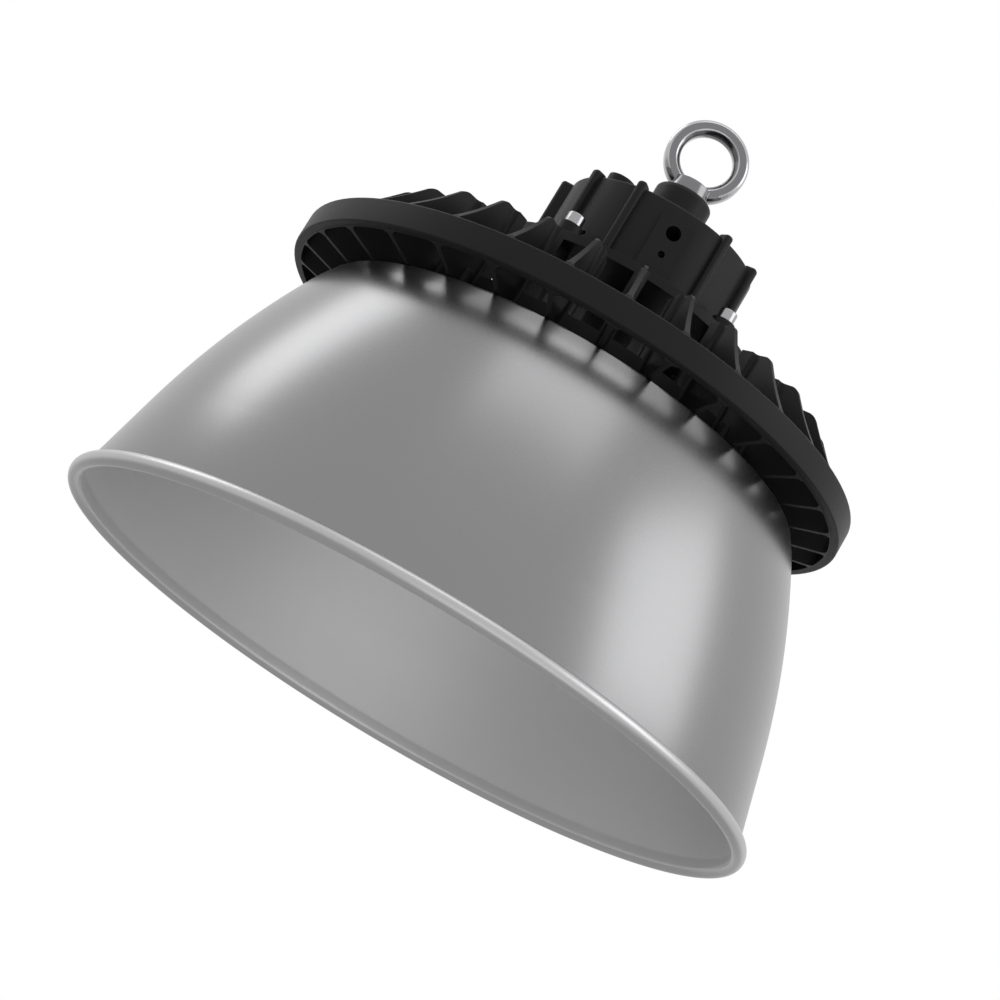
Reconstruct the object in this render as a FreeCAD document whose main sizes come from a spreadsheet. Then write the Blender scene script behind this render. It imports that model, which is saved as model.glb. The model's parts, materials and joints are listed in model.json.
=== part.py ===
"""High bay light: spun aluminium shade, die-cast finned heat sink, driver housing and eye bolt.

The axis of the light is Z and its rim rests on the plane Z = 0. The front, with the driver's panel, faces -Y.
"""

import math
import os

import FreeCAD
import Part
import Sketcher

V = FreeCAD.Vector
FULL_TURN = 360.0
HALF_TURN = FULL_TURN / 2

# Driving dimensions in millimetres and degrees. Heights are above the rim's underside.
SIZES = {
    # shade
    "sheet_thick": 1.2,
    "bead_rad": 4.35,
    "bead_centre_rad": 200.65,
    "bead_gap": 0.5,
    "shade_low_rad": 198.55,
    "shade_top_rad": 144.3,
    "shade_top": 168.5,
    "shade_bend_rad": 189.3,
    "shade_bend": 49.35,
    "shade_arc_rad": 458.0,
    "shade_corner": 3.0,
    "shade_flange_rad": 119.0,
    # heat sink
    "ring_rad": 168.6,
    "ring_thick": 5.3,
    "ring_round": 1.0,
    "ring_low": 175.3,
    "ring_top": 190.0,
    "drum_rad": 124.5,
    "disc_top": 181.4,
    "disc_low": 175.0,
    "recess_rad": 116.0,
    "fin_count": 30,
    "fin_phase": 0.5,
    "fin_thick": 3.3,
    "fin_draft_up": 1.2,
    "fin_draft_down": 0.8,
    "fin_peak": 221.6,
    "fin_peak_rad": 131.5,
    "fin_shoulder": 217.7,
    "fin_shoulder_rad": 137.8,
    "fin_hollow_rad": 220.0,
    "fin_foot_rad": 139.8,
    "window_corner": 3.4,
    "window_inner_corner": 2.2,
    "post_rad": 115.4,
    "post_wide": 7.6,
    "post_corner": 1.8,
    "long_post_rad": 104.0,
    "boss_circle": 130.5,
    "boss_rad": 4.5,
    "boss_top": 179.0,
    "boss_count": 5,
    "pillar_circle": 68.0,
    "pillar_rad": 7.3,
    "pillar_draft": 0.6,
    "column_rad": 14.75,
    "column_bore": 9.0,
    "skirt_chamfer": 0.9,
    "skirt_chamfer_wide": 0.6,
    "fin_rise": 2.9,
    "fin_rise_wide": 1.5,
    "fin_shoulder_round": 9.0,
    "fin_crown": 0.8,
    "post_inset": 3.0,
    "post_overlap": 2.0,
    "long_post_deep": 8.5,
    "pillar_hole": 18.0,
    "boss_roof": 1.5,
    "tapped_depth": 5.0,
    "pillar_count": 4,
    # driver
    "driver_turn": 4.5,
    "driver_low": 233.2,
    "flange_rad": 82.0,
    "flange_thick": 5.3,
    "wall_rad": 56.3,
    "wall_thick": 3.5,
    "wall_round": 1.6,
    "wall_top": 287.4,
    "ceiling": 283.4,
    "dome_rise": 3.6,
    "dome_arc": 210.0,
    "rib_root": 0.4,
    "base_screw_hole": 6.0,
    "neck_rad": 16.9,
    "neck_top": 315.3,
    "neck_round": 3.5,
    "rib_rad": 60.1,
    "rib_wide": 5.5,
    "rib_corner": 2.2,
    "rib_round": 1.9,
    "rib_top": 290.1,
    "rib_first": 28.0,
    "rib_second": 60.0,
    "deep_rib_rad": 63.4,
    "deep_rib_turn": -102.0,
    "panel_wide": 20.9,
    "panel_top": 279.8,
    "panel_corner": 2.5,
    "panel_face": 57.2,
    "panel_root": 2.8,
    "entry_rad": 4.25,
    "entry_height": 271.8,
    "adjuster_rad": 1.95,
    "adjuster_height": 258.2,
    "vent_rad": 1.4,
    "vent_height": 251.6,
    "vent_turn": -46.0,
    "pad_rad": 7.9,
    "pad_high": 4.0,
    "pad_circle": 46.0,
    "pad_turn": -52.0,
    "screw_boss_rad": 6.85,
    "screw_boss_top": 248.0,
    "rebate_rad": 61.0,
    "base_plate_thick": 2.0,
    "gasket_thick": 1.0,
    "base_screw_circle": 57.4,
    "base_screw_turn": 60.0,
    # eye bolt
    "eye_height": 339.2,
    "eye_rad": 23.8,
    "eye_bore": 15.15,
    "eye_thick": 10.4,
    "eye_land": 5.2,
    "eye_outer_bevel": 1.7,
    "collar_rad": 11.35,
    "collar_top": 323.2,
    "bolt_rad": 6.0,
    "bolt_length": 44.0,
    "bolt_chamfer": 1.0,
    "collar_shoulder": 2.4,
    "collar_slope": 3.2,
    "collar_round": 3.4,
    # fasteners
    "cap_head_rad": 5.0,
    "cap_head_high": 6.7,
    "cap_screw_rad": 3.0,
    "cap_screw_length": 30.0,
    "hex_key": 5.0,
    "small_screw_rad": 1.5,
    "small_head_rad": 2.8,
    "small_head_high": 2.0,
    "shade_screw_rad": 2.0,
    "shade_head_rad": 4.0,
    "shade_head_high": 2.7,
    "shade_screw_short": 3.0,
    "small_screw_grip": 4.0,
    "base_screw_length": 8.0,
    # light source
    "board_rad": 104.0,
    "board_thick": 1.6,
    "chip_side": 5.0,
    "chip_high": 1.0,
    "chip_first_ring": 30.0,
    "chip_ring_step": 30.0,
    "chip_ring_count": 6,
    "board_screw_circle": 75.0,
    "board_screw_count": 6,
    "lens_rad": 115.4,
    "lens_thick": 2.5,
    "lens_ring_inner": 105.5,
    "lens_ring_thick": 1.2,
    "lens_gasket_inner": 106.0,
    "lens_screw_circle": 110.6,
    "lens_screw_count": 10,
    "dome_rad": 7.0,
    "dome_high": 4.2,
    # driver's works
    "circuit_rad": 49.0,
    "circuit_low": 245.0,
    "spacer_circle": 43.0,
    "spacer_rad": 3.0,
    "wire_rad": 1.2,
    "wire_spread": 2.0,
    "wire_hole": 4.0,
    "connector_wide": 9.0,
    "connector_deep": 9.0,
    "connector_high": 2.0,
    "lens_seat": 0.0,
    "dome_draft": 16.0,
    "chip_rings": 3,
    "eye_nut_across": 18.0,
    "eye_nut_high": 9.0,
    "eye_washer_across": 24.0,
    "eye_washer_thick": 2.0,
    "core_across": -20.0,
    "core_back": -6.0,
    "core_wide": 32.0,
    "core_high": 22.0,
    "core_deep": 11.0,
    "core_leg": 4.5,
    "core_winding": 5.5,
    "capacitor_rad": 8.0,
    "capacitor_high": 20.0,
    "film_long": 18.0,
    "film_thick": 8.0,
    "film_high": 14.0,
    "block_long": 14.0,
    "block_deep": 9.0,
    "block_high": 12.0,
    "transistor_wide": 10.0,
    "transistor_thick": 4.5,
    "transistor_high": 15.0,
    "choke_rad": 11.0,
    "choke_high": 9.0,
    "choke_place": 25.0,
    "capacitor_across": 20.0,
    "capacitor_front": -24.0,
    "capacitor_back": -4.0,
    "film_across": -12.0,
    "film_back": 24.0,
    "block_across": -7.0,
    "block_front": -44.0,
    "transistor_across": -17.0,
    "transistor_front": -28.0,
    "spreader_across": -24.0,
    "spreader_foot_front": -34.0,
    "spreader_back": -28.0,
    "spacer_turn": 20.0,
    "spreader_thick": 2.0,
    "spreader_high": 22.0,
    "spreader_wide": 20.0,
    "grommet_bore": 5.0,
    "grommet_long": 8.0,
}

# The fins that carry on towards the axis, counted from the front one.
LONG_FINS = (-1, 1, 14, 16)
# The first of the fins that carry a boss for the shade's screws.
BOSS_FIN = 3
# How far the leaning sheet reaches sideways for each of its thicknesses, at the bend and under the top.
LOW_LEAN = 1.025
TOP_LEAN = 0.59
# A cut reaches this far past the faces it has to clear, and a pad this far into what it grows from.
CLEARANCE = 3.0
BITE = 1.0
# From where the pad on the roof starts to the roof where it leaves it.
PAD_ROOT = 2.2
# From one screw boss, pillar or the front to the next boss.
EIGHTH_TURN = 45.0

doc = FreeCAD.newDocument("high_bay_light")
sheet = doc.addObject("Spreadsheet::Sheet", "sizes")
for row, (alias, number) in enumerate(SIZES.items(), start=1):
    sheet.set("A%d" % row, alias)
    sheet.set("B%d" % row, str(number))
    sheet.setAlias("B%d" % row, alias)
doc.recompute()


class Size:
    """A number worked out from the sheet, kept with the expression that binds it there."""

    def __init__(self, value, text):
        self.value = value
        self.text = text

    def __add__(self, other):
        other = size(other)
        return Size(self.value + other.value, "(%s + %s)" % (self.text, other.text))

    def __sub__(self, other):
        other = size(other)
        return Size(self.value - other.value, "(%s - %s)" % (self.text, other.text))

    def __mul__(self, other):
        other = size(other)
        return Size(self.value * other.value, "(%s * %s)" % (self.text, other.text))

    def __truediv__(self, other):
        other = size(other)
        return Size(self.value / other.value, "(%s / %s)" % (self.text, other.text))

    def __rmul__(self, other):
        return size(other) * self

    def __rsub__(self, other):
        return size(other) - self

    def __neg__(self):
        return self * -1


def size(item):
    """Turns an alias of the sheet or a plain number into a Size."""
    if isinstance(item, Size):
        return item
    if isinstance(item, str):
        return Size(float(SIZES[item]), "sizes." + item)
    return Size(float(item), repr(float(item)))


def sine(angle):
    return Size(math.sin(math.radians(angle.value)), "sin(%s)" % angle.text)


def cosine(angle):
    return Size(math.cos(math.radians(angle.value)), "cos(%s)" % angle.text)


def root(item):
    return Size(math.sqrt(item.value), "sqrt(%s)" % item.text)


def around(radius, turn):
    """A place at `radius` from the axis, turned by `turn` degrees from the front (-Y) towards +X."""
    radius = size(radius)
    turn = size(turn)
    return radius * sine(turn), -(radius * cosine(turn))


def beside(turn, radius, offset):
    """The place at `radius` on a line that runs beside the radius at `turn`, at a distance of `offset`."""
    turn, radius, offset = size(turn), size(radius), size(offset)
    along = root(radius * radius - offset * offset)
    return (
        along * sine(turn) + offset * cosine(turn),
        offset * sine(turn) - along * cosine(turn),
    )


def bind(item, **settings):
    """Binds properties of an object to the sheet."""
    for name, amount in settings.items():
        amount = size(amount)
        setattr(item, name, amount.value)
        item.setExpression(name, amount.text)


def new_body(label, turn=0):
    item = doc.addObject("PartDesign::Body", label)
    item.Label = label
    if turn:
        item.Placement = FreeCAD.Placement(V(0, 0, 0), V(0, 0, 1), size(turn).value)
        item.setExpression("Placement.Rotation.Angle", size(turn).text)
    return item


def origin_feature(item, role):
    return [feature for feature in item.Origin.OriginFeatures if feature.Role == role][0]


def new_sketch(item, role, height=0, turn=0):
    """A sketch on one of the body's own planes, moved by `height` along that plane's normal.

    On the XZ plane, `turn` first swings the sketch about the Z axis.
    """
    sketch = item.newObject("Sketcher::SketchObject", "sketch")
    sketch.AttachmentSupport = (origin_feature(item, role), [""])
    sketch.MapMode = "FlatFace"
    height, turn = size(height), size(turn)
    aside = height * sine(turn)
    ahead = height * cosine(turn)
    base = V(aside.value, 0, ahead.value)
    sketch.AttachmentOffset = FreeCAD.Placement(base, FreeCAD.Rotation(V(0, 1, 0), turn.value))
    sketch.setExpression("AttachmentOffset.Base.x", aside.text)
    sketch.setExpression("AttachmentOffset.Base.z", ahead.text)
    sketch.setExpression("AttachmentOffset.Rotation.Angle", turn.text)
    return sketch


def hold(sketch, kind, amount, *where):
    """Adds one dimension to a sketch and binds it to the sheet."""
    if kind != "Radius" and abs(amount.value) < 1e-9:
        axis = -2 if kind == "DistanceX" else -1
        sketch.addConstraint(Sketcher.Constraint("PointOnObject", *where[-2:], axis))
        return
    index = sketch.addConstraint(Sketcher.Constraint(kind, *where, amount.value))
    sketch.setExpression("Constraints[%d]" % index, amount.text)


def arc_between(start, end, radius):
    """An arc from start to end that turns left for a positive radius and right for a negative one."""
    chord = end - start
    left = V(-chord.y, chord.x, 0).normalize()
    rise = math.sqrt(radius * radius - chord.Length * chord.Length / 4)
    centre = (start + end) * 0.5 + left * math.copysign(rise, radius)
    first, last = (start, end) if radius > 0 else (end, start)
    first_angle = math.atan2(first.y - centre.y, first.x - centre.x)
    last_angle = math.atan2(last.y - centre.y, last.x - centre.x)
    circle = Part.Circle(centre, V(0, 0, 1), abs(radius))
    return Part.ArcOfCircle(circle, first_angle, last_angle)


def draw_outline(sketch, points):
    """Draws a closed outline. A point's third value is the radius of the arc to the next point."""
    corners = [(size(point[0]), size(point[1])) for point in points]
    radii = [size(point[2]) if len(point) > 2 else None for point in points]
    ends = []
    for index, radius in enumerate(radii):
        start = V(corners[index][0].value, corners[index][1].value, 0)
        following = corners[(index + 1) % len(corners)]
        end = V(following[0].value, following[1].value, 0)
        if radius is None:
            edge = sketch.addGeometry(Part.LineSegment(start, end))
            ends.append(((edge, 1), (edge, 2)))
            continue
        edge = sketch.addGeometry(arc_between(start, end, radius.value))
        ends.append(((edge, 1), (edge, 2)) if radius.value > 0 else ((edge, 2), (edge, 1)))
    for index, (begin, finish) in enumerate(ends):
        following = ends[(index + 1) % len(ends)][0]
        sketch.addConstraint(Sketcher.Constraint("Coincident", *finish, *following))
    for index, (across, up) in enumerate(corners):
        hold(sketch, "DistanceX", across, -1, 1, *ends[index][0])
        hold(sketch, "DistanceY", up, -1, 1, *ends[index][0])
        if radii[index] is not None:
            absolute = radii[index] if radii[index].value > 0 else -radii[index]
            hold(sketch, "Radius", absolute, ends[index][0][0])


def draw_circles(sketch, circles):
    """Draws circles, each given as (across, up, radius)."""
    for across, up, radius in circles:
        across, up, radius = size(across), size(up), size(radius)
        circle = Part.Circle(V(across.value, up.value, 0), V(0, 0, 1), radius.value)
        edge = sketch.addGeometry(circle)
        hold(sketch, "DistanceX", across, -1, 1, edge, 3)
        hold(sketch, "DistanceY", up, -1, 1, edge, 3)
        hold(sketch, "Radius", radius, edge)


def turned(item, points):
    """Turns an outline of (radius, height) points about the body's Z axis."""
    sketch = new_sketch(item, "XZ_Plane")
    draw_outline(sketch, points)
    feature = item.newObject("PartDesign::Revolution", "turned")
    feature.Profile = sketch
    feature.ReferenceAxis = (sketch, ["V_Axis"])
    feature.Angle = FULL_TURN
    return feature


def grown(item, sketch, length, **settings):
    """Pads a sketch."""
    feature = item.newObject("PartDesign::Pad", "grown")
    feature.Profile = sketch
    bind(feature, Length=length)
    for name, setting in settings.items():
        setattr(feature, name, setting)
    return feature


def cut_away(item, sketch, length, **settings):
    """Pockets a sketch and makes sure that it removes material."""
    doc.recompute()
    before = item.Shape.Volume
    feature = item.newObject("PartDesign::Pocket", "cut")
    feature.Profile = sketch
    bind(feature, Length=length)
    for name, setting in settings.items():
        setattr(feature, name, setting)
    doc.recompute()
    if item.Shape.Volume >= before - 1e-3:
        raise ValueError("a pocket of %s cuts nothing" % item.Label)
    return feature


def repeated(item, features, count, angle=FULL_TURN):
    """Repeats features about the body's Z axis."""
    pattern = item.newObject("PartDesign::PolarPattern", "pattern")
    pattern.Originals = features
    pattern.Axis = (origin_feature(item, "Z_Axis"), [""])
    bind(pattern, Angle=angle)
    pattern.Occurrences = int(size(count).value)
    pattern.setExpression("Occurrences", size(count).text)
    item.Tip = pattern
    return pattern


def edges_where(shape, test):
    return ["Edge%d" % (index + 1) for index, edge in enumerate(shape.Edges) if test(edge)]


def is_circle_at(radius, height):
    """A test for the horizontal circular edges of one radius and height."""

    def test(edge):
        if not hasattr(edge.Curve, "Radius"):
            return False
        level = abs(edge.BoundBox.ZMin - height) < 0.01 and abs(edge.BoundBox.ZMax - height) < 0.01
        return level and abs(edge.Curve.Radius - radius) < 0.01

    return test


def soften(item, kind, amount, test):
    """Adds a Fillet or Chamfer on the edges of the body's tip that pass the test."""
    doc.recompute()
    tip = item.Tip
    names = edges_where(tip.Shape, test)
    if not names:
        raise ValueError("%s has no such edge to soften" % item.Label)
    feature = item.newObject("PartDesign::" + kind, kind.lower())
    feature.Base = (tip, names)
    bind(feature, **{"Radius" if kind == "Fillet" else "Size": amount})
    return feature


# The shade


def make_reflector():
    """The spun shade: flange, wall and a bead rolled outwards and round at the rim."""
    item = new_body("reflector")
    sheet_thick = size("sheet_thick")
    centre = size("bead_centre_rad")
    outer = size("bead_rad")
    inner = outer - sheet_thick
    wall_out = size("shade_low_rad")
    wall_in = wall_out - sheet_thick
    top = size("shade_top")
    under = top - sheet_thick
    wall_start = outer * 2 + "bead_gap"
    corner_in = size("shade_top_rad") - sheet_thick * TOP_LEAN
    arc = size("shade_arc_rad")
    roll_end = wall_out + size("bead_gap")

    def on_roll(radius, across):
        """The point of the roll's upper half at a distance from the light's axis."""
        offset = across - centre
        return across, outer + root(radius * radius - offset * offset)

    turned(
        item,
        [
            (*on_roll(outer, wall_in), outer),
            (centre - outer, outer, outer),
            (centre, size(0), outer),
            (centre + outer, outer, outer),
            (centre, outer * 2, outer),
            on_roll(outer, roll_end),
            (*on_roll(inner, roll_end), -inner),
            (centre, outer + inner, -inner),
            (centre + inner, outer, -inner),
            (centre, outer - inner, -inner),
            (centre - inner, outer, -inner),
            on_roll(inner, wall_out),
            (wall_out, wall_start),
            ("shade_bend_rad", "shade_bend", arc),
            ("shade_top_rad", top),
            ("shade_flange_rad", top),
            ("shade_flange_rad", under),
            (corner_in, under, -(arc - sheet_thick)),
            (size("shade_bend_rad") - sheet_thick * LOW_LEAN, "shade_bend"),
            (wall_in, wall_start),
        ],
    )
    outer_corner = is_circle_at(size("shade_top_rad").value, top.value)
    soften(item, "Fillet", "shade_corner", outer_corner)
    inner_corner = is_circle_at(corner_in.value, under.value)
    soften(item, "Fillet", size("shade_corner") - sheet_thick, inner_corner)
    drill = new_sketch(item, "XY_Plane", under)
    draw_circles(drill, [(*around("boss_circle", boss_turn()), "shade_screw_rad")])
    hole = cut_away(item, drill, sheet_thick, Reversed=True)
    repeated(item, [hole], "boss_count")
    return item


def boss_turn():
    """The first of the fins that carry a boss for the shade's screws."""
    return size("fin_phase") + size(FULL_TURN) / "fin_count" * BOSS_FIN


# The heat sink


def draw_window(sketch, near, far, half, near_round=None, far_round=None):
    """The opening between the first two fins, `half` from their middle planes."""
    near, far, half = size(near), size(far), size(half)
    low_turn = size("fin_phase")
    high_turn = low_turn + size(FULL_TURN) / "fin_count"
    if near_round is None:
        points = [
            beside(low_turn, near, half),
            (*beside(low_turn, far, half), far),
            beside(high_turn, far, -half),
            (*beside(high_turn, near, -half), -near),
        ]
        draw_outline(sketch, points)
        return
    near_round, far_round = size(near_round), size(far_round)
    points = [
        beside(low_turn, near + near_round, half),
        (*beside(low_turn, far - far_round, half), far_round),
        (*beside(low_turn, far, half + far_round), far),
        (*beside(high_turn, far, -(half + far_round)), far_round),
        beside(high_turn, far - far_round, -half),
        (*beside(high_turn, near + near_round, -half), near_round),
        (*beside(high_turn, near, -(half + near_round)), -near),
        (*beside(low_turn, near, half + near_round), near_round),
    ]
    draw_outline(sketch, points)


def make_heat_sink():
    """One casting: disc with a skirt, wire column, pillars, and fins that run out to a ring."""
    item = new_body("heat_sink")
    ring_inner = size("ring_rad") - "ring_thick"
    seat = size("shade_top")
    turned(
        item,
        [
            ("column_bore", "disc_low"),
            ("recess_rad", "disc_low"),
            ("recess_rad", seat),
            ("fin_foot_rad", seat),
            (ring_inner, size("ring_low") - "skirt_chamfer"),
            (ring_inner + "skirt_chamfer_wide", "ring_low"),
            ("ring_rad", "ring_low"),
            ("ring_rad", "ring_top"),
            (ring_inner, "ring_top"),
            (ring_inner - "fin_rise_wide", size("ring_top") + "fin_rise", -size("fin_hollow_rad")),
            ("fin_shoulder_rad", "fin_shoulder", "fin_shoulder_round"),
            ("fin_peak_rad", "fin_peak"),
            ("post_rad", size("fin_peak") + "fin_crown"),
            ("post_rad", "disc_top"),
            ("column_rad", "disc_top"),
            ("column_rad", "driver_low"),
            ("column_bore", "driver_low"),
        ],
    )
    for height in ("ring_low", "ring_top"):
        soften(item, "Fillet", "ring_round", is_circle_at(SIZES["ring_rad"], SIZES[height]))
    add_pillars(item)
    drill_ring(
        item, "lens_screw_circle", 0, "small_screw_rad", "disc_low", "tapped_depth", "lens_screw_count"
    )
    drill_ring(
        item, "board_screw_circle", 0, "small_screw_rad", "disc_low", "tapped_depth", "board_screw_count"
    )

    window = new_sketch(item, "XY_Plane", "ring_top")
    draw_window(
        window, "drum_rad", ring_inner, size("fin_thick") / 2, "window_inner_corner", "window_corner"
    )
    lower = size("ring_top") - seat + BITE
    opening = cut_away(item, window, lower, SideType="Two sides")
    bind(opening, TaperAngle="fin_draft_down", TaperAngle2="fin_draft_up")
    bind(opening, Length2=size("fin_peak") + "post_overlap" - "ring_top")
    doc.recompute()
    repeated(item, [opening], "fin_count")

    between_posts = new_sketch(item, "XY_Plane", "disc_top")
    near = size("post_rad") - "post_inset"
    far = size("drum_rad") + "post_overlap"
    draw_window(between_posts, near, far, size("post_wide") / 2)
    crown = size("fin_peak") + "post_overlap" - "disc_top"
    gap = cut_away(item, between_posts, crown, Reversed=True)
    repeated(item, [gap], "fin_count")

    add_long_posts(item)
    add_shade_bosses(item)
    return item


def add_long_posts(item):
    """Carries a few fins on towards the axis, each to a post that stands on the disc."""
    sketch = new_sketch(item, "XY_Plane", "disc_top")
    half = size("post_wide") / 2
    web = size("fin_thick") / 2
    corner = size("post_corner")
    outer = size("post_rad") + BITE
    step = size("long_post_rad") + "long_post_deep"
    inner = size("long_post_rad")
    for fin in LONG_FINS:
        turn = size("fin_phase") + size(FULL_TURN) / "fin_count" * fin
        draw_outline(
            sketch,
            [
                beside(turn, outer, -web),
                beside(turn, outer, web),
                beside(turn, step, web),
                beside(turn, step, half),
                (*beside(turn, inner + corner, half), corner),
                beside(turn, inner, half - corner),
                (*beside(turn, inner, -(half - corner)), corner),
                beside(turn, inner + corner, -half),
                beside(turn, step, -half),
                beside(turn, step, -web),
            ],
        )
    grown(item, sketch, size("fin_peak") - "disc_top")


def add_pillars(item):
    """The pillars that carry the driver, each with a blind hole for its cap screw."""
    turn = size("driver_turn") + EIGHTH_TURN
    foot = new_sketch(item, "XY_Plane", "disc_top")
    draw_circles(foot, [(*around("pillar_circle", turn), "pillar_rad")])
    pillar = grown(item, foot, size("driver_low") - "disc_top")
    bind(pillar, TaperAngle=-size("pillar_draft"))
    drill = new_sketch(item, "XY_Plane", "driver_low")
    draw_circles(drill, [(*around("pillar_circle", turn), "cap_screw_rad")])
    hole = cut_away(item, drill, "pillar_hole")
    repeated(item, [pillar, hole], "pillar_count")


def add_shade_bosses(item):
    """The bosses astride some fins that take the shade's screws from below."""
    foot = new_sketch(item, "XY_Plane", "shade_top")
    draw_circles(foot, [(*around("boss_circle", boss_turn()), "boss_rad")])
    boss = grown(item, foot, size("boss_top") - "shade_top")
    drill = new_sketch(item, "XY_Plane", "shade_top")
    draw_circles(drill, [(*around("boss_circle", boss_turn()), "shade_screw_rad")])
    hole = cut_away(item, drill, size("boss_top") - "shade_top" - "boss_roof", Reversed=True)
    repeated(item, [boss, hole], "boss_count")


def drill_ring(item, circle, turn, radius, height, depth, count):
    """A ring of blind holes drilled upwards from a face at `height`."""
    drill = new_sketch(item, "XY_Plane", height)
    draw_circles(drill, [(*around(circle, turn), radius)])
    hole = cut_away(item, drill, depth, Reversed=True)
    repeated(item, [hole], count)


# The driver's case


def make_driver_housing():
    """One casting: cup with a flange, ribs, front panel, screw bosses and the neck for the eye bolt."""
    item = new_body("driver_housing", "driver_turn")
    low = size("driver_low")
    flange_top = low + "flange_thick"
    inner = size("wall_rad") - "wall_thick"
    rebate = low + "base_plate_thick" + "gasket_thick"
    turned(
        item,
        [
            ("rebate_rad", low),
            ("flange_rad", low),
            ("flange_rad", flange_top),
            ("wall_rad", flange_top),
            ("wall_rad", "wall_top", "dome_arc"),
            ("neck_rad", size("wall_top") + "dome_rise"),
            ("neck_rad", "neck_top"),
            ("bolt_rad", "neck_top"),
            ("bolt_rad", "ceiling"),
            (inner, "ceiling"),
            (inner, rebate),
            ("rebate_rad", rebate),
        ],
    )
    soften(item, "Fillet", "neck_round", is_circle_at(SIZES["neck_rad"], SIZES["neck_top"]))
    soften(item, "Fillet", "wall_round", is_circle_at(SIZES["wall_rad"], SIZES["wall_top"]))
    add_ribs(item, flange_top)
    soften(item, "Fillet", "rib_round", is_level_at(SIZES["rib_top"]))
    add_panel(item, flange_top)
    add_screw_bosses(item, flange_top)
    add_top_pad(item)
    for turn in base_screw_turns():
        drill = new_sketch(item, "XY_Plane", rebate)
        draw_circles(drill, [(*around("base_screw_circle", turn), "small_screw_rad")])
        cut_away(item, drill, "base_screw_hole", Reversed=True)
    return item


def base_screw_turns():
    """The base plate's screws lie under the two middle ribs of each side."""
    turns = [size("rib_second"), size(HALF_TURN) - "rib_second"]
    return turns + [-turn for turn in turns]


def is_level_at(height):
    """A test for the edges that lie flat at one height."""

    def test(edge):
        box = edge.BoundBox
        return abs(box.ZMin - height) < 0.01 and abs(box.ZMax - height) < 0.01

    return test


def rib_turns():
    """The ribs' places: on both sides of each screw boss, alike at front and back."""
    front = [size("rib_first"), size("rib_second")]
    turns = front + [size(HALF_TURN) - turn for turn in front]
    return turns + [-turn for turn in turns]


def add_ribs(item, low):
    """The ribs from the flange up the wall and a little over its top, one of them deeper than the rest."""
    sketch = new_sketch(item, "XY_Plane", low)
    half = size("rib_wide") / 2
    corner = size("rib_corner")
    inner = size("wall_rad") - "wall_thick" + "rib_root"
    ribs = [(turn, size("rib_rad")) for turn in rib_turns()]
    ribs.append((size("deep_rib_turn"), size("deep_rib_rad")))
    for turn, outer in ribs:
        draw_outline(
            sketch,
            [
                beside(turn, inner, -half),
                (*beside(turn, outer - corner, -half), corner),
                beside(turn, outer, corner - half),
                (*beside(turn, outer, half - corner), corner),
                beside(turn, outer - corner, half),
                beside(turn, inner, half),
            ],
        )
    grown(item, sketch, size("rib_top") - low)


def add_panel(item, low):
    """The raised flat at the front, with the cable's hole and the adjuster's hole below it."""
    half = size("panel_wide") / 2
    corner = size("panel_corner")
    top = size("panel_top")
    sketch = new_sketch(item, "XZ_Plane", "panel_face")
    draw_outline(
        sketch,
        [
            (-half, low),
            (half, low),
            (half, top - corner, corner),
            (half - corner, top),
            (-(half - corner), top, corner),
            (-half, top - corner),
        ],
    )
    grown(item, sketch, size("panel_face") - "wall_rad" + "panel_root", Reversed=True)
    holes = new_sketch(item, "XZ_Plane", "panel_face")
    draw_circles(holes, [(0, "entry_height", "entry_rad"), (0, "adjuster_height", "adjuster_rad")])
    cut_away(item, holes, size("wall_thick") + CLEARANCE)
    vent = new_sketch(item, "XZ_Plane", size("wall_rad") + BITE, "vent_turn")
    draw_circles(vent, [(0, "vent_height", "vent_rad")])
    cut_away(item, vent, size("wall_thick") + CLEARANCE)


def add_screw_bosses(item, low):
    """The bosses on the flange that the cap screws pull down."""
    foot = new_sketch(item, "XY_Plane", low)
    draw_circles(foot, [(*around("pillar_circle", EIGHTH_TURN), "screw_boss_rad")])
    boss = grown(item, foot, size("screw_boss_top") - low)
    drill = new_sketch(item, "XY_Plane", "screw_boss_top")
    draw_circles(drill, [(*around("pillar_circle", EIGHTH_TURN), "cap_screw_rad")])
    hole = cut_away(item, drill, size("screw_boss_top") - "driver_low" + BITE)
    repeated(item, [boss, hole], "pillar_count")


def add_top_pad(item):
    """A low round pad on the roof of the cup."""
    foot = new_sketch(item, "XY_Plane", size("wall_top") - BITE)
    draw_circles(foot, [(*around("pad_circle", "pad_turn"), "pad_rad")])
    grown(item, foot, size("pad_high") + PAD_ROOT)


def make_base_plate():
    """The pressed plate that closes the driver from below."""
    item = new_body("driver_base_plate", "driver_turn")
    low = size("driver_low")
    high = low + "base_plate_thick"
    turned(
        item,
        [("column_bore", low), ("rebate_rad", low), ("rebate_rad", high), ("column_bore", high)],
    )
    drill_base_screws(item, low, "base_plate_thick")
    return item


def drill_base_screws(item, low, thick):
    """The holes that the base plate's screws pass through."""
    drill = new_sketch(item, "XY_Plane", low)
    places = [around("base_screw_circle", turn) for turn in base_screw_turns()]
    draw_circles(drill, [(*place, "small_screw_rad") for place in places])
    cut_away(item, drill, thick, Reversed=True)


def make_driver_gasket():
    """The flat seal between the base plate and the housing."""
    item = new_body("driver_gasket", "driver_turn")
    low = size("driver_low") + "base_plate_thick"
    high = low + "gasket_thick"
    inner = size("wall_rad") - "wall_thick"
    turned(item, [(inner, low), ("rebate_rad", low), ("rebate_rad", high), (inner, high)])
    drill_base_screws(item, low, "gasket_thick")
    return item


# Screws


def stand_at(item, place, height):
    """Puts an object at a place and height that follow the sheet."""
    across, up, height = size(place[0]), size(place[1]), size(height)
    item.Placement = FreeCAD.Placement(V(across.value, up.value, height.value), FreeCAD.Rotation())
    item.setExpression("Placement.Base.x", across.text)
    item.setExpression("Placement.Base.y", up.text)
    item.setExpression("Placement.Base.z", height.text)


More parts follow.
